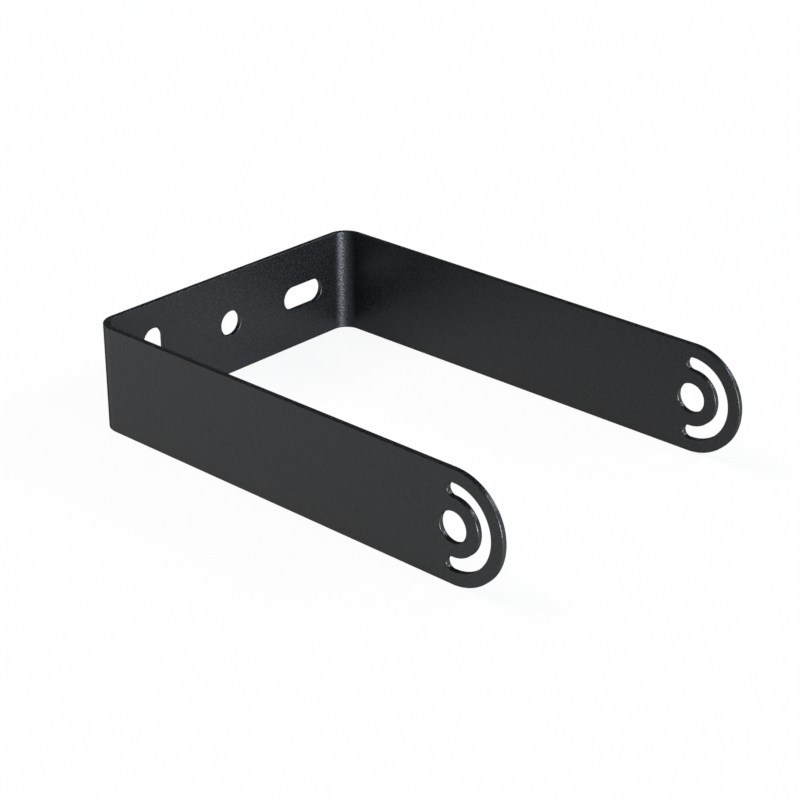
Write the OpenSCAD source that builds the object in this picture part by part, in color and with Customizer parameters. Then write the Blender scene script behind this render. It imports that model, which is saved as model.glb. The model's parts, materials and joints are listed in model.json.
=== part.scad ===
// Light suspension bracket: one steel strip folded into a U. The web bolts to the support and a
// lamp hangs between the arms, turns about the two pivot holes and is locked through the arc slots.
// The origin is the centre of the middle hole, on the web's outer face. X runs across the arms,
// +Y points out of the mounting face, and Z runs along the width of the strip.

/* [Strip] */
// Width of the flat strip, and the diameter of the round arm ends
strip_w = 40; // [36:0.5:60]
// Thickness of the strip
sheet_t = 2; // [1.5:0.1:4]
// Rounding of every edge, outlines and holes alike
edge_r = 0.3; // [0.1:0.05:0.6]

/* [Folds] */
// Width over the outer faces of the two arms
bracket_w = 126.5; // [116:0.5:240]
// Distance from the mounting face to the pivot axis
pivot_reach = 166; // [60:1:300]
// Inside radius of the two bends
bend_r = 6; // [2:0.5:8]

/* [Web] */
// Diameter of the fixing hole in the middle of the web
middle_hole_d = 9.7; // [5:0.1:16]
// Distance between the centres of the two fixing slots
slot_pitch = 75.8; // [50:0.1:80]
// Width of the fixing slots
slot_w = 9.2; // [5:0.1:14]
// Length of the fixing slots over their round ends
slot_len = 20; // [15:0.1:28]

/* [Arms] */
// Diameter of the pivot holes
pivot_hole_d = 10.8; // [5:0.1:16]
// Radius of the arc slots' middle line about the pivot
arc_slot_r = 12.75; // [11:0.05:15]
// Width of the arc slots
arc_slot_w = 4.85; // [3:0.05:7]
// Turn of the arc slots' middle line between their end centres
arc_slot_turn = 180; // [60:5:240]

/* [Hidden] */
$fn = 96;

// Radius of the bends at the outer faces
bend_outer_r = bend_r + sheet_t;
// Half of the web's flat stretch, up to where a bend starts
web_half = bracket_w / 2 - bend_outer_r;
// Flat stretch of an arm, from the end of its bend to the pivot axis
arm_len = pivot_reach - bend_outer_r;
// How far the cutters stand out of the sheet
overrun = 1;

// Section of the sheet beside a free edge: the sheet lies on the X axis, fills 0 <= y <= sheet_t,
// and runs from its rounded edge at x = 0 to x = reach
module sheet_edge(reach) {
    translate([edge_r, 0]) square([reach - edge_r, sheet_t]);
    translate([0, edge_r]) square([edge_r, sheet_t - 2 * edge_r]);
    for (y = [edge_r, sheet_t - edge_r])
        translate([edge_r, y]) circle(r = edge_r);
}

// Full section of the strip: its thickness along X from 0, its width along Y about 0
module strip_section() {
    for (side = [0, 1])
        mirror([0, side]) translate([sheet_t, -strip_w / 2]) rotate(90) sheet_edge(strip_w / 2);
}

// Half section of a cutter for an opening of width w: all that the rounded sheet edge leaves free
module opening_half_section(w) {
    difference() {
        translate([0, -overrun]) square([w / 2 + edge_r, sheet_t + 2 * overrun]);
        translate([w / 2, 0]) sheet_edge(2 * edge_r);
    }
}

module opening_section(w) {
    opening_half_section(w);
    mirror([1, 0]) opening_half_section(w);
}

// Cutters stand on the XY plane, with the sheet between z = 0 and z = sheet_t
module hole_cutter(d) {
    rotate_extrude() opening_half_section(d);
}

// Half of a hole cutter, on the side of positive y
module round_end_cutter(w) {
    rotate_extrude(angle = 180) opening_half_section(w);
}

// Slot along X, centred on the origin
module slot_cutter(w, len) {
    straight = len - w;
    translate([-straight / 2, 0, 0]) rotate([90, 0, 90])
        linear_extrude(height = straight) opening_section(w);
    for (side = [0, 1])
        mirror([side, 0, 0]) translate([straight / 2, 0, 0]) rotate(-90) round_end_cutter(w);
}

// Slot along an arc about the origin that bulges towards -X
module arc_slot_cutter(w, r, turn) {
    start = 180 - turn / 2;
    rotate(start) rotate_extrude(angle = turn) translate([r, 0]) opening_section(w);
    for (side = [0, 1])
        mirror([0, side, 0]) rotate(start) translate([r, 0, 0]) rotate(180) round_end_cutter(w);
}

// The web lies flat between the bends, with its outer face on Y = 0
module web() {
    translate([-web_half, -sheet_t, 0]) rotate([90, 0, 90])
        linear_extrude(height = 2 * web_half) strip_section();
}

// Quarter turn that leads from the web into the arm on the side of +X
module bend() {
    translate([web_half, -bend_outer_r, 0]) rotate_extrude(angle = 90)
        translate([bend_r, 0]) strip_section();
}

// Flat arm on the side of +X, with its round end about the pivot axis
module arm() {
    translate([bracket_w / 2 - sheet_t, -bend_outer_r, 0]) rotate([90, 0, 0])
        linear_extrude(height = arm_len) strip_section();
    translate([bracket_w / 2 - sheet_t, -pivot_reach, 0]) rotate([90, 0, 90]) rotate(90)
        rotate_extrude(angle = 180) translate([strip_w / 2, 0]) mirror([1, 0])
            sheet_edge(strip_w / 2);
}

// Hole in the middle of the web, a level slot on the side of +X and an upright one opposite
module web_cutters() {
    rotate([90, 0, 0]) {
        hole_cutter(middle_hole_d);
        translate([slot_pitch / 2, 0, 0]) slot_cutter(slot_w, slot_len);
        translate([-slot_pitch / 2, 0, 0]) rotate(90) slot_cutter(slot_w, slot_len);
    }
}

// Pivot hole and arc slot of the arm on the side of +X
module arm_cutters() {
    translate([bracket_w / 2 - sheet_t, -pivot_reach, 0]) rotate([90, 0, 90]) {
        hole_cutter(pivot_hole_d);
        arc_slot_cutter(arc_slot_w, arc_slot_r, arc_slot_turn);
    }
}

module bracket() {
    color([0.06, 0.06, 0.065])
        difference() {
            union() {
                web();
                for (side = [0, 1])
                    mirror([side, 0, 0]) {
                        bend();
                        arm();
                    }
            }
            web_cutters();
            for (side = [0, 1])
                mirror([side, 0, 0]) arm_cutters();
        }
}

bracket();
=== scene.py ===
"""Light suspension bracket, dressed for its render.

A flat steel strip is laid out in numpy with its round ends, holes and slots, its rims get their
small rounding, and it is folded twice into a U. It stands for the CAD node of the same name.
Lengths are in metres. X runs across the arms, which lie along -Y, and Z runs across the strip.
"""

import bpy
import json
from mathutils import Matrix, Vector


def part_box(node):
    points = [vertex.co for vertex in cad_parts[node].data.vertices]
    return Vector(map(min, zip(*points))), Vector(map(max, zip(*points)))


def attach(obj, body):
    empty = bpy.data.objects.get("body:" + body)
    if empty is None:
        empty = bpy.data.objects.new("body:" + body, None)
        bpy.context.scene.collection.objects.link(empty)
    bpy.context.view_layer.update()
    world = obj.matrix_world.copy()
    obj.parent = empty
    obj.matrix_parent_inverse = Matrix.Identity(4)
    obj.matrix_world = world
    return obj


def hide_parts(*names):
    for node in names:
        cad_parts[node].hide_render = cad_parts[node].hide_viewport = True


bl_info = {
    "name": "Light suspension bracket",
    "version": (1, 0, 0),
    "blender": (4, 5, 0),
    "location": "3D View > Sidebar > Bracket",
    "description": "Folds a coated strip into a light suspension bracket and sets its studio stage",
    "category": "Object",
}

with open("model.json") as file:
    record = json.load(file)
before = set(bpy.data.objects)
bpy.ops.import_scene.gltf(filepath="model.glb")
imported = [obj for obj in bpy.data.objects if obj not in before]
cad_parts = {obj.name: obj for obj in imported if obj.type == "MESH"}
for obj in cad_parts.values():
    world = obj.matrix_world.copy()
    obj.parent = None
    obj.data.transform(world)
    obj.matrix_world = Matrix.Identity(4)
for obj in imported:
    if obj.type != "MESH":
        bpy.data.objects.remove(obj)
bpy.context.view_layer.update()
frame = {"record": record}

import json
from math import cos, pi, radians, sin

import bmesh
import bpy
import numpy as np
from bpy.props import FloatProperty, FloatVectorProperty, PointerProperty
from mathutils import Vector

NODE = "bracket"
BODY = "root"
MM = 0.001

node_low, node_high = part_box(NODE)
mounts = {mount["name"]: mount for mount in frame["record"]["mounts"]}


def stated(mount, size):
    """A size that the record gives for one of its mounts in millimetres."""
    return mounts[mount]["dims"][size] * MM


def length(name, description, default):
    """A setting for a length."""
    return FloatProperty(
        name=name, description=description, default=default, precision=5,
        subtype="DISTANCE", unit="LENGTH",
    )


def angle(name, description, default):
    """A setting for an angle, whose default is given in degrees."""
    return FloatProperty(
        name=name, description=description, default=radians(default), precision=4,
        subtype="ANGLE", unit="ROTATION",
    )


def level(name, description, default):
    """A setting for a share between nothing and all."""
    return FloatProperty(
        name=name, description=description, default=default, min=0.0, max=1.0, precision=4,
        subtype="FACTOR",
    )


def strength(name, description, default, unit="NONE"):
    """A setting for the strength of a lamp."""
    return FloatProperty(
        name=name, description=description, default=default, min=0.0, precision=3, unit=unit,
    )


def colour(name, description, default):
    """A setting for a colour."""
    return FloatVectorProperty(
        name=name, description=description, default=default, min=0.0, max=1.0, precision=4,
        size=3, subtype="COLOR",
    )


class BracketSizes(bpy.types.PropertyGroup):
    """Sizes of the folded strip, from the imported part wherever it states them."""

    strip_width: length(
        "Strip width", "Width of the flat strip and of its round ends", node_high.z - node_low.z,
    )
    thickness: length(
        "Thickness", "Thickness of the sheet", stated("fixing_hole", "length_mm"),
    )
    edge_radius: length("Edge rounding", "Rounding of every edge of the sheet", 0.3 * MM)
    width: length(
        "Bracket width", "Width over the outer faces of the arms", node_high.x - node_low.x,
    )
    reach: length(
        "Pivot reach", "Distance from the mounting face to the pivot's axis",
        -mounts["pivot"]["pos_m"][1],
    )
    bend_radius: length("Bend radius", "Inside radius of the two bends", 6.0 * MM)
    hole_radius: length(
        "Fixing hole radius", "Radius of the hole in the middle of the web",
        stated("fixing_hole", "r_mm"),
    )
    slot_place: length(
        "Slot place", "Distance from the middle hole to the centre of each fixing slot",
        mounts["level_slot"]["pos_m"][0],
    )
    slot_radius: length(
        "Slot end radius", "Radius of the fixing slots' round ends",
        stated("level_slot", "hole_r_mm"),
    )
    slot_length: length(
        "Slot length", "Length of the fixing slots over their round ends",
        stated("level_slot", "slot_length_mm"),
    )
    pivot_radius: length("Pivot hole radius", "Radius of the pivot holes", stated("pivot", "r_mm"))
    arc_place: length(
        "Arc slot place", "Radius of the arc slots' middle line about the pivot",
        mounts["pivot"]["pos_m"][1] - mounts["lock_slot_left"]["pos_m"][1],
    )
    arc_radius: length(
        "Arc slot end radius", "Radius of the arc slots' round ends",
        stated("lock_slot_left", "hole_r_mm"),
    )


class CoatFinish(bpy.types.PropertyGroup):
    """Look of the powder coat."""

    coat_colour: colour("Coat colour", "Colour of the coat", (0.0020, 0.0022, 0.0026))
    grain_colour: colour(
        "Grain colour", "Colour of the coat's high spots", (0.0112, 0.0121, 0.0134),
    )
    roughness: level("Roughness", "How widely the coat spreads a reflection", 0.36)
    roughness_change: level("Roughness change", "Change of the roughness over the grain", 0.14)
    grain_size: length("Grain size", "Distance between the bumps of the coat", 0.7 * MM)
    grain_height: length("Grain height", "Height of the bumps of the coat", 0.12 * MM)
    gloss_index: FloatProperty(
        name="Gloss index", description="Refractive index of the coat", default=1.40, min=1.0,
        max=2.0, precision=3,
    )
    glance_loss: level("Glance loss", "Share of the gloss that is lost at glancing angles", 0.95)


class StageLook(bpy.types.PropertyGroup):
    """Look of the stage: its camera, floor and light."""

    aim: FloatVectorProperty(
        name="Aim", description="Point that the camera looks at", precision=5,
        default=(-7.02 * MM, -93.18 * MM, 0.0), size=3, subtype="TRANSLATION", unit="LENGTH",
    )
    distance: length("Camera distance", "Distance from the aim to the camera", 724.12 * MM)
    turn: angle(
        "Camera turn", "Turn of the camera from the open side towards the arm at +X", -47.629,
    )
    rise: angle("Camera rise", "Height of the camera above the horizon", 25.309)
    lens: FloatProperty(
        name="Lens", description="Focal length of the camera", default=95.0,
        subtype="DISTANCE_CAMERA", unit="CAMERA",
    )
    floor_colour: colour("Floor colour", "Colour of the floor", (0.93, 0.92, 0.90))
    floor_white: level("Floor white", "Share of plain white in the floor, for the camera", 0.92)
    floor_shine: level(
        "Floor in reflections", "Share of plain white in the floor, for reflections", 0.44,
    )
    room_colour: colour(
        "Room colour", "Colour and level of the light all round", (0.045, 0.050, 0.055),
    )
    back_light: strength("Back lamp", "Strength of the lamp at the back, in W/m2", 2.5)
    front_light: strength("Front lamp", "Strength of the lamp in front, in W/m2", 1.05)
    side_light: strength("Side lamp", "Strength of the small lamp at the side, in W/m2", 1.25)
    strip_light: strength("Strip lamp", "Power of the low strip lamp in front", 64.0, "POWER")


def segment(start, end, steps):
    """Straight line from start to end in equal steps."""
    t = np.linspace(0.0, 1.0, steps + 1)[:, None]
    return (1.0 - t) * np.array(start) + t * np.array(end)


def directions(first, last, steps):
    """Unit directions from the angle first to the angle last, in degrees."""
    a = np.radians(np.linspace(first, last, steps + 1))
    return np.stack([np.cos(a), np.sin(a)], axis=1)


def join(*paths):
    """One path out of several, each of which starts where the one before it ends."""
    return np.concatenate([paths[0]] + [path[1:] for path in paths[1:]])


def ruled(inner, outer, rows):
    """Straight lines from every point of one path to its partner on the other, cut into rows."""
    t = np.linspace(0.0, 1.0, rows + 1)[:, None, None]
    return (1.0 - t) * inner + t * outer


class FoldedStrip:
    """Patches of the flat strip, and the fold that turns them into the bracket.

    A point of the flat strip is (s, w, n): s along the strip from the middle of the web, w across
    it from its middle line, and n into the sheet from the face that ends up outside. All patches
    meet point to point, a rounding's width inside the strip's outline and round its openings.
    """

    MARGIN_STEPS = 8      # across the strip, beside an arc slot's end
    MIDDLE_STEPS = 16     # across the strip, beside the pivot
    CORNER_STEPS = 8      # along the arm, from the pivot's line to the plain stretch
    TIP_STEPS = 64        # round a tip
    BLOCK_STEPS = 24      # along the web beside an opening
    PLAIN_STEPS = 4       # along each plain stretch of the web
    BEND_STEPS = 24
    ARM_STEPS = 36
    HUB_ROWS = 4          # from the pivot hole to the middle of the ring round it
    SLOT_ROWS = 4         # from there to the arc slot, and from the arc slot to the tip
    WEB_ROWS = 6          # from an opening of the web to its block's border
    RIM_STEPS = 5         # in the rounding of a rim
    BLOCK_MARGIN = 3 * MM
    ROOT = 8 * MM         # from the pivot's line to the arm's plain stretch
    MERGE = 0.0001 * MM

    def __init__(self, sizes):
        self.thickness = sizes.thickness
        self.edge = sizes.edge_radius
        self.outer_bend = sizes.bend_radius + sizes.thickness
        self.middle_bend = sizes.bend_radius + sizes.thickness / 2
        self.bend_start = sizes.width / 2 - self.outer_bend
        self.bend_end = self.bend_start + self.middle_bend * pi / 2
        self.pivot = self.bend_end + sizes.reach - self.outer_bend
        self.border = sizes.strip_width / 2 - self.edge
        self.ring_middle = (sizes.pivot_radius + sizes.arc_place - sizes.arc_radius) / 2
        self.margin = np.linspace(self.ring_middle, self.border, self.MARGIN_STEPS + 1)
        self.middle = np.linspace(-self.ring_middle, self.ring_middle, self.MIDDLE_STEPS + 1)
        self.across = join(-self.margin[::-1], self.middle, self.margin)
        self.points = []
        self.facing = []
        self.lay_out(sizes)

    def add(self, points, facing):
        """Keeps a grid of points (s, w, n) with the directions in which its surface faces."""
        self.points.append(points)
        self.facing.append(np.broadcast_to(facing, points.shape))

    def add_faces(self, grid):
        """Puts a flat grid of points (s, w) on both faces of the sheet."""
        for depth, facing in ((0.0, -1.0), (self.thickness, 1.0)):
            points = np.concatenate([grid, np.full_like(grid[..., :1], depth)], axis=2)
            self.add(points, (0.0, 0.0, facing))

    def add_plain(self, along):
        """Fills a plain stretch with lines across the strip at the places along it."""
        s, w = np.meshgrid(along, self.across, indexing="ij")
        self.add_faces(np.stack([s, w], axis=2))

    def add_rim(self, path, outward):
        """Carries the sheet's rounded edge along a closed path.

        The profile starts on the outer face, turns outwards and down through a quarter circle,
        goes straight through the sheet and turns back onto the inner face.
        """
        a = np.linspace(0.0, pi / 2, self.RIM_STEPS + 1)
        fall = self.edge * (1.0 - np.cos(a))
        lean = np.concatenate([np.sin(a), np.sin(a[::-1])])[:, None, None]
        lift = np.concatenate([-np.cos(a), np.cos(a[::-1])])[:, None, None]
        depth = np.concatenate([fall, self.thickness - fall[::-1]])[:, None, None]
        one = np.ones((1, len(path), 1))
        self.add(
            np.concatenate([path + self.edge * lean * outward, depth * one], axis=2),
            np.concatenate([lean * outward, lift * one], axis=2),
        )

    def add_opening(self, place, core, corner, radius, half_block):
        """Puts a hole or slot into the web, in a block that spans the strip.

        A point of its outline is a point of the opening's middle line plus the radius in some
        direction. From corner to corner of the block both change evenly: the point between the
        ends of the middle line, which lie at plus and minus core, and the direction between plus
        and minus the corner's angle from the strip's length.
        """
        s, w = core
        b, e = half_block, self.border
        side, top = len(self.across) - 1, self.BLOCK_STEPS
        radius = radius + self.edge
        centre = np.array([place, 0.0])
        spokes = join(
            directions(-corner, corner, side), directions(corner, 180 - corner, top),
            directions(180 - corner, 180 + corner, side),
            directions(180 + corner, 360 - corner, top),
        )
        line = join(
            segment((s, -w), (s, w), side), segment((s, w), (-s, w), top),
            segment((-s, w), (-s, -w), side), segment((-s, -w), (s, -w), top),
        )
        ends = np.stack([np.full_like(self.across, b), self.across], axis=1)
        block = join(
            ends, segment((b, e), (-b, e), top), -ends, segment((-b, -e), (b, -e), top),
        )
        outline = centre + line + radius * spokes
        self.add_faces(ruled(outline, centre + block, self.WEB_ROWS))
        self.add_rim(outline, -spokes)

    def add_arm_end(self, side, sizes):
        """Lays out the round end about the pivot, towards +s or -s as side says.

        Two half rings fill the tip side, within and beyond the arc slot. On the root side, the
        half circle of the pivot hole and the round ends of the arc slot are joined by straight
        lines to the border of the block that they lie in.
        """
        v, e, q = self.ring_middle, self.border, self.ROOT
        hub = sizes.pivot_radius + self.edge
        cap = sizes.arc_radius + self.edge
        near, far = sizes.arc_place - cap, sizes.arc_place + cap
        fan = directions(-90, 90, self.TIP_STEPS)
        hub_fan = directions(90, 270, 2 * self.CORNER_STEPS + self.MIDDLE_STEPS)
        cap_fan = directions(-90, -270, 2 * self.CORNER_STEPS + self.MARGIN_STEPS)
        cap_centre = np.array([0.0, sizes.arc_place])
        upper = cap_centre + cap * cap_fan
        hub_border = join(
            segment((0.0, v), (-q, v), self.CORNER_STEPS),
            np.stack([np.full_like(self.middle, -q), self.middle[::-1]], axis=1),
            segment((-q, -v), (0.0, -v), self.CORNER_STEPS),
        )
        cap_border = join(
            segment((0.0, v), (-q, v), self.CORNER_STEPS),
            np.stack([np.full_like(self.margin, -q), self.margin], axis=1),
            segment((-q, e), (0.0, e), self.CORNER_STEPS),
        )
        down = np.array([1.0, -1.0])
        grids = [
            ruled(hub * fan, v * fan, self.HUB_ROWS),
            ruled(v * fan, near * fan, self.SLOT_ROWS),
            ruled(far * fan, e * fan, self.SLOT_ROWS),
            ruled(hub * hub_fan, hub_border, self.HUB_ROWS),
            ruled(upper, cap_border, self.SLOT_ROWS),
            ruled(upper * down, cap_border * down, self.SLOT_ROWS),
        ]
        rims = [
            (join(hub * fan, hub * hub_fan), join(-fan, -hub_fan)),
            (
                join(far * fan, upper[::-1], near * fan[::-1], upper * down),
                join(-fan, -cap_fan[::-1], fan[::-1], -cap_fan * down),
            ),
        ]
        turn, place = np.array([side, 1.0]), np.array([side * self.pivot, 0.0])
        for grid in grids:
            self.add_faces(grid * turn + place)
        for path, outward in rims:
            self.add_rim(path * turn + place, outward * turn)

    def lay_out(self, sizes):
        """Sets the openings, the plain stretches and the outline out along the strip."""
        straight = sizes.slot_length / 2 - sizes.slot_radius
        slot_block = sizes.slot_length / 2 + self.edge + self.BLOCK_MARGIN
        hole_block = sizes.hole_radius + self.edge + 2 * self.BLOCK_MARGIN
        self.add_opening(0.0, (0.0, 0.0), 45, sizes.hole_radius, hole_block)
        self.add_opening(sizes.slot_place, (straight, 0.0), 90, sizes.slot_radius, slot_block)
        self.add_opening(-sizes.slot_place, (0.0, straight), 0, sizes.slot_radius, slot_block)

        block_start, block_end = sizes.slot_place - slot_block, sizes.slot_place + slot_block
        root = self.pivot - self.ROOT
        stretches = [
            np.linspace(hole_block, block_start, self.PLAIN_STEPS + 1),
            np.linspace(block_end, self.bend_start, self.PLAIN_STEPS + 1),
            np.linspace(self.bend_start, self.bend_end, self.BEND_STEPS + 1),
            np.linspace(self.bend_end, root, self.ARM_STEPS + 1),
        ]
        for stretch in stretches:
            self.add_plain(stretch)
            self.add_plain(-stretch)
        for side in (1.0, -1.0):
            self.add_arm_end(side, sizes)

        half = join(
            stretches[0], np.linspace(block_start, block_end, self.BLOCK_STEPS + 1),
            *stretches[1:], np.linspace(root, self.pivot, self.CORNER_STEPS + 1),
        )
        whole = join(-half[::-1], np.linspace(-hole_block, hole_block, self.BLOCK_STEPS + 1), half)
        up = np.array([[0.0, 1.0]] * len(whole))
        edge = np.stack([whole, np.full_like(whole, self.border)], axis=1)
        fan = directions(-90, 90, self.TIP_STEPS)
        tip = self.border * fan + (self.pivot, 0.0)
        self.add_rim(join(tip, edge[::-1], -tip, -edge[::-1]), join(fan, up, -fan, -up))

    def fold(self, points, facing):
        """Folds points of the strip, and the directions that they face, into the row's frame.

        Up to the start of a bend a point keeps its place along the web. Through the bend it goes
        round the bend's centre at the outer radius less its depth, by its way past the start
        over the sheet's middle radius. Beyond the quarter turn it goes straight along the arm.
        """
        s, w, n = points.T
        fs, fw, fn = facing.T
        side = np.where(s < 0.0, -1.0, 1.0)
        run, fs = side * s, side * fs
        turn = np.clip((run - self.bend_start) / self.middle_bend, 0.0, pi / 2)
        radius = self.outer_bend - n
        x = np.minimum(run, self.bend_start) + radius * np.sin(turn)
        y = radius * np.cos(turn) - self.outer_bend - np.maximum(run - self.bend_end, 0.0)
        fx = fs * np.cos(turn) - fn * np.sin(turn)
        fy = -fs * np.sin(turn) - fn * np.cos(turn)
        return np.stack([side * x, y, w], axis=1), np.stack([side * fx, fy, fw], axis=1)

    def make_mesh(self, name):
        """Folds all patches into one closed mesh of quads that faces outwards."""
        counts = [len(grid.reshape(-1, 3)) for grid in self.points]
        starts = np.concatenate([[0], np.cumsum(counts)[:-1]])
        quads = []
        for grid, start in zip(self.points, starts):
            rows, columns = grid.shape[:2]
            i = start + np.arange(rows * columns).reshape(rows, columns)
            quads.append(np.stack(
                [i[:-1, :-1], i[:-1, 1:], i[1:, 1:], i[1:, :-1]], axis=2).reshape(-1, 4))
        quads = np.concatenate(quads)
        points, facing = self.fold(
            np.concatenate([grid.reshape(-1, 3) for grid in self.points]),
            np.concatenate([grid.reshape(-1, 3) for grid in self.facing]),
        )
        a, b, c, d = (points[quads[:, k]] for k in range(4))
        inside_out = np.sum(np.cross(c - a, d - b) * facing[quads].sum(axis=1), axis=1) < 0.0
        quads[inside_out] = quads[inside_out, ::-1]

        mesh = bpy.data.meshes.new(name)
        mesh.from_pydata(points.tolist(), [], quads.tolist())
        mesh.attributes.new("facing", "FLOAT_VECTOR", "POINT").data.foreach_set(
            "vector", facing.ravel())
        shell = bmesh.new()
        shell.from_mesh(mesh)
        bmesh.ops.remove_doubles(shell, verts=shell.verts, dist=self.MERGE)
        closed = all(edge.is_manifold and edge.is_contiguous for edge in shell.edges)
        shell.to_mesh(mesh)
        shell.free()
        if not closed:
            raise RuntimeError("the folded strip is not closed; its patches do not meet")
        facing = np.zeros(3 * len(mesh.vertices), dtype=np.float32)
        mesh.attributes["facing"].data.foreach_get("vector", facing)
        mesh.attributes.remove(mesh.attributes["facing"])
        mesh.polygons.foreach_set("use_smooth", np.ones(len(mesh.polygons), dtype=bool))
        mesh.normals_split_custom_set_from_vertices(facing.reshape(-1, 3).tolist())
        return mesh


class Wire:
    """The output socket of a node, with the sums that shader maths needs."""

    def __init__(self, shading, socket):
        self.shading = shading
        self.socket = socket

    def maths(self, operation, first, second):
        """The result of one operation on two numbers or wires."""
        return self.shading.add("ShaderNodeMath", {"operation": operation}, {0: first, 1: second})

    def __add__(self, other):
        return self.maths("ADD", self, other)

    def __radd__(self, other):
        return self.maths("ADD", other, self)

    def __sub__(self, other):
        return self.maths("SUBTRACT", self, other)

    def __rsub__(self, other):
        return self.maths("SUBTRACT", other, self)

    def __mul__(self, other):
        return self.maths("MULTIPLY", self, other)

    def __rmul__(self, other):
        return self.maths("MULTIPLY", other, self)


class Shading:
    """The node tree of a material or of the world."""

    def __init__(self, owner):
        owner.use_nodes = True
        self.tree = owner.node_tree
        self.tree.nodes.clear()

    def add(self, kind, settings=None, inputs=None, output=0):
        """Adds a node: its settings first, then the values or wires of its sockets."""
        node = self.tree.nodes.new(kind)
        for name, value in (settings or {}).items():
            setattr(node, name, value)
        for key, value in (inputs or {}).items():
            socket = node.inputs[key]
            if isinstance(value, Wire):
                self.tree.links.new(value.socket, socket)
            else:
                socket.default_value = value
        return Wire(self, node.outputs[output]) if node.outputs else None


def opaque(rgb):
    """A colour with an alpha of one, as the sockets take it."""
    return (*rgb, 1.0)


MIX_FACTOR, MIX_FIRST, MIX_SECOND, MIX_RESULT = 0, 6, 7, 2  # sockets of a Mix node for colours
WHITE = (1.0, 1.0, 1.0)
COARSE_SHARE = 0.7           # share of the coarse noise in the grain; the fine noise has the rest
FINE_TIMES = 2.7             # how many times finer the fine noise is
FLECK_RANGE = (0.38, 0.62)   # grain levels between which a fleck comes up
GLANCE_RANGE = (0.42, 0.85)  # 1 minus the cosine of the viewing angle, between which the gloss fades


def powder_coat(finish):
    """Matt black powder coat: a near-black gloss, broken up by a fine orange-peel grain.

    The grain is the weighted sum of a coarse and a fine noise, and gives the bumps their height.
    Its high spots are flecks, which change the colour and the roughness. Towards glancing angles
    the gloss fades to a matt surface of the same colour, as the bumps hide each other there.
    """
    material = bpy.data.materials.new("Black powder coat")
    shading = Shading(material)
    place = shading.add("ShaderNodeTexCoord", output="Object")
    coarse, fine = (
        shading.add("ShaderNodeTexNoise", {}, {
            "Vector": place, "Scale": times / finish.grain_size, "Detail": 1.0, "Roughness": 0.5,
        })
        for times in (1.0, FINE_TIMES)
    )
    grain = COARSE_SHARE * coarse + (1.0 - COARSE_SHARE) * fine
    fleck_low, fleck_high = FLECK_RANGE
    fleck = shading.add("ShaderNodeMapRange", {"clamp": True}, {
        "Value": grain, "From Min": fleck_low, "From Max": fleck_high,
    })
    tone = shading.add("ShaderNodeMix", {"data_type": "RGBA"}, {
        MIX_FACTOR: fleck, MIX_FIRST: opaque(finish.coat_colour),
        MIX_SECOND: opaque(finish.grain_colour),
    }, output=MIX_RESULT)
    bump = shading.add("ShaderNodeBump", {}, {
        "Height": grain, "Distance": finish.grain_height, "Strength": 1.0,
    })
    coat = shading.add("ShaderNodeBsdfPrincipled", {}, {
        "Base Color": tone,
        "Roughness": finish.roughness + finish.roughness_change * (fleck - 0.5),
        "IOR": finish.gloss_index,
        "Normal": bump,
    })
    matt = shading.add("ShaderNodeBsdfPrincipled", {}, {
        "Base Color": tone, "Roughness": 1.0, "Specular IOR Level": 0.0, "Normal": bump,
    })
    facing = shading.add("ShaderNodeLayerWeight", {}, {"Blend": 0.5}, output="Facing")
    glance_start, glance_end = GLANCE_RANGE
    glance = shading.add("ShaderNodeMapRange", {"interpolation_type": "SMOOTHSTEP"}, {
        "Value": facing, "From Min": glance_start, "From Max": glance_end,
        "To Max": finish.glance_loss,
    })
    surface = shading.add("ShaderNodeMixShader", {}, {0: glance, 1: coat, 2: matt})
    shading.add("ShaderNodeOutputMaterial", {}, {"Surface": surface})
    return material


def floor_finish(look):
    """Pale floor that keeps its shadows, mixed with plain white.

    The share of white is one level for the camera and for what is seen through, and another,
    lower one for reflections. Other light meets the pale paint alone.
    """
    material = bpy.data.materials.new("Pale floor")
    shading = Shading(material)
    camera, glossy, through = (
        shading.add("ShaderNodeLightPath", output=kind)
        for kind in ("Is Camera Ray", "Is Glossy Ray", "Is Transmission Ray")
    )
    paint = shading.add("ShaderNodeBsdfDiffuse", {}, {"Color": opaque(look.floor_colour)})
    white = shading.add("ShaderNodeEmission", {}, {"Color": opaque(WHITE), "Strength": 1.0})
    surface = shading.add("ShaderNodeMixShader", {}, {
        0: look.floor_white * (camera + through) + look.floor_shine * glossy, 1: paint, 2: white,
    })
    shading.add("ShaderNodeOutputMaterial", {}, {"Surface": surface})
    material.cycles.emission_sampling = "NONE"
    return material


class BRACKET_OT_fold(bpy.types.Operator):
    """Fold the coated strip into the bracket"""

    bl_idname = "bracket.fold"
    bl_label = "Fold the bracket"

    def execute(self, context):
        scene = context.scene
        mesh = FoldedStrip(scene.bracket_sizes).make_mesh("folded_bracket")
        mesh.materials.append(powder_coat(scene.coat_finish))
        bracket = bpy.data.objects.new("folded_bracket", mesh)
        scene.collection.objects.link(bracket)
        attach(bracket, BODY)
        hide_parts(NODE)
        return {"FINISHED"}


LAMPS = (
    # name, setting of its strength, direction towards it, width in degrees, colour, shows in gloss
    ("back_lamp", "back_light", (-0.15, 0.62, 0.77), 30.0, (1.0, 0.94, 0.87), False),
    ("front_lamp", "front_light", (0.00, -0.72, 0.69), 30.0, (0.40, 0.72, 1.0), True),
    ("side_lamp", "side_light", (0.67, -0.53, 0.53), 14.0, (0.86, 0.94, 1.0), True),
)
STRIP_PLACE = (-0.25, -1.28, 0.03)  # middle of the strip lamp, which faces the origin
STRIP_SIZE = (0.30, 0.09)           # its width and its height
STRIP_COLOUR = (0.79, 0.88, 1.0)


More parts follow.
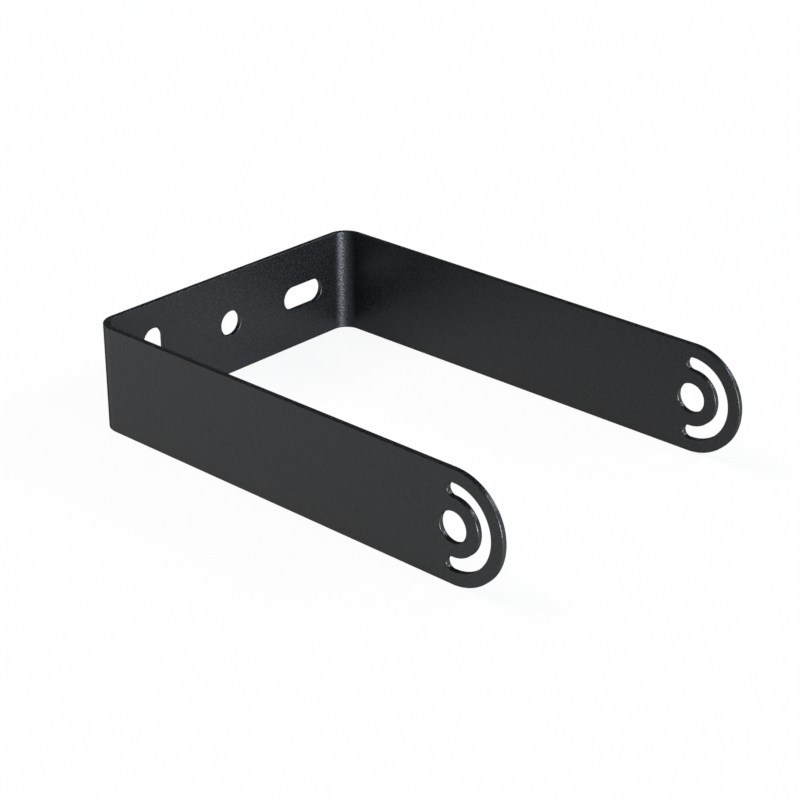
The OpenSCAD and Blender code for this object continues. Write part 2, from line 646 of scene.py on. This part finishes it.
class BRACKET_OT_stage(bpy.types.Operator):
    """Set the floor, the lamps, the room light and the camera"""

    bl_idname = "bracket.stage"
    bl_label = "Set the stage"

    FLOOR_HALF = 5.0   # half of the floor's side
    FLOOR_FLAT = 3.0   # radius of its flat part
    FLOOR_RISE = 1.0   # height of the wall round it
    FLOOR_STEPS = 80

    def make_floor(self, context, look):
        """A flat floor whose far border rises into a low wall, as one sheet.

        Its height is the rise times the smooth step of the distance from the middle, from the
        end of the flat part to the border.
        """
        ticks = np.linspace(-self.FLOOR_HALF, self.FLOOR_HALF, self.FLOOR_STEPS + 1)
        x, y = np.meshgrid(ticks, ticks, indexing="ij")
        beyond = np.hypot(x, y) - self.FLOOR_FLAT
        t = np.clip(beyond / (self.FLOOR_HALF - self.FLOOR_FLAT), 0.0, 1.0)
        z = node_low.z + self.FLOOR_RISE * t * t * (3.0 - 2.0 * t)
        i = np.arange(x.size).reshape(x.shape)
        quads = np.stack([i[:-1, :-1], i[1:, :-1], i[1:, 1:], i[:-1, 1:]], axis=2).reshape(-1, 4)
        mesh = bpy.data.meshes.new("floor")
        mesh.from_pydata(np.stack([x, y, z], axis=2).reshape(-1, 3).tolist(), [], quads.tolist())
        mesh.polygons.foreach_set("use_smooth", np.ones(len(quads), dtype=bool))
        mesh.materials.append(floor_finish(look))
        floor = bpy.data.objects.new("floor", mesh)
        context.scene.collection.objects.link(floor)

    def make_lamps(self, context, look):
        """Three wide, far lamps, one of which the gloss of the coat doesn't show."""
        for name, setting, towards, width, tint, shows in LAMPS:
            lamp = bpy.data.lights.new(name, "SUN")
            lamp.energy = getattr(look, setting)
            lamp.angle = radians(width)
            lamp.color = tint
            holder = bpy.data.objects.new(name, lamp)
            holder.rotation_euler = Vector(towards).to_track_quat("Z", "Y").to_euler()
            holder.visible_glossy = shows
            context.scene.collection.objects.link(holder)

    def make_strip_lamp(self, context, look):
        """A low strip light in front, which only the gloss of the coat shows."""
        lamp = bpy.data.lights.new("strip_lamp", "AREA")
        lamp.shape = "RECTANGLE"
        lamp.size, lamp.size_y = STRIP_SIZE
        lamp.energy = look.strip_light
        lamp.color = STRIP_COLOUR
        holder = bpy.data.objects.new("strip_lamp", lamp)
        holder.location = STRIP_PLACE
        holder.rotation_euler = Vector(STRIP_PLACE).to_track_quat("Z", "Y").to_euler()
        holder.visible_camera = False
        holder.visible_diffuse = False
        context.scene.collection.objects.link(holder)

    def make_room(self, context, look):
        """Even light from all round."""
        world = bpy.data.worlds.new("Studio room")
        context.scene.world = world
        shading = Shading(world)
        light = shading.add("ShaderNodeBackground", {}, {
            "Color": opaque(look.room_colour), "Strength": 1.0,
        })
        shading.add("ShaderNodeOutputWorld", {}, {"Surface": light})

    def make_camera(self, context, look):
        """The camera at its distance from the aim, turned and raised from the open side."""
        towards = Vector((
            sin(look.turn) * cos(look.rise), -cos(look.turn) * cos(look.rise), sin(look.rise),
        ))
        lens = bpy.data.cameras.new("camera")
        lens.lens = look.lens
        camera = bpy.data.objects.new("camera", lens)
        camera.location = Vector(look.aim) + look.distance * towards
        camera.rotation_euler = towards.to_track_quat("Z", "Y").to_euler()
        context.scene.collection.objects.link(camera)
        context.scene.camera = camera

    def execute(self, context):
        look = context.scene.stage_look
        self.make_floor(context, look)
        self.make_lamps(context, look)
        self.make_strip_lamp(context, look)
        self.make_room(context, look)
        self.make_camera(context, look)
        context.scene.view_settings.view_transform = "Standard"
        return {"FINISHED"}


class BRACKET_PT_panel(bpy.types.Panel):
    """Lists the sizes, the finish and the steps"""

    bl_label = "Light suspension bracket"
    bl_idname = "BRACKET_PT_panel"
    bl_space_type = "VIEW_3D"
    bl_region_type = "UI"
    bl_category = "Bracket"

    def draw(self, context):
        for group, operator in (
            (context.scene.bracket_sizes, None),
            (context.scene.coat_finish, BRACKET_OT_fold.bl_idname),
            (context.scene.stage_look, BRACKET_OT_stage.bl_idname),
        ):
            box = self.layout.box()
            for name in group.__annotations__:
                box.prop(group, name)
            if operator:
                box.operator(operator)


GROUPS = {
    "bracket_sizes": BracketSizes,
    "coat_finish": CoatFinish,
    "stage_look": StageLook,
}
CLASSES = (*GROUPS.values(), BRACKET_OT_fold, BRACKET_OT_stage, BRACKET_PT_panel)


def register():
    """Registers the classes and hangs their settings on the scene."""
    for cls in CLASSES:
        bpy.utils.register_class(cls)
    for name, group in GROUPS.items():
        setattr(bpy.types.Scene, name, PointerProperty(type=group))


def unregister():
    """Takes the settings and the classes away again."""
    for name in GROUPS:
        delattr(bpy.types.Scene, name)
    for cls in reversed(CLASSES):
        bpy.utils.unregister_class(cls)


def main():
    register()
    bpy.ops.bracket.fold()
    bpy.ops.bracket.stage()


if __name__ == "__main__":
    main()
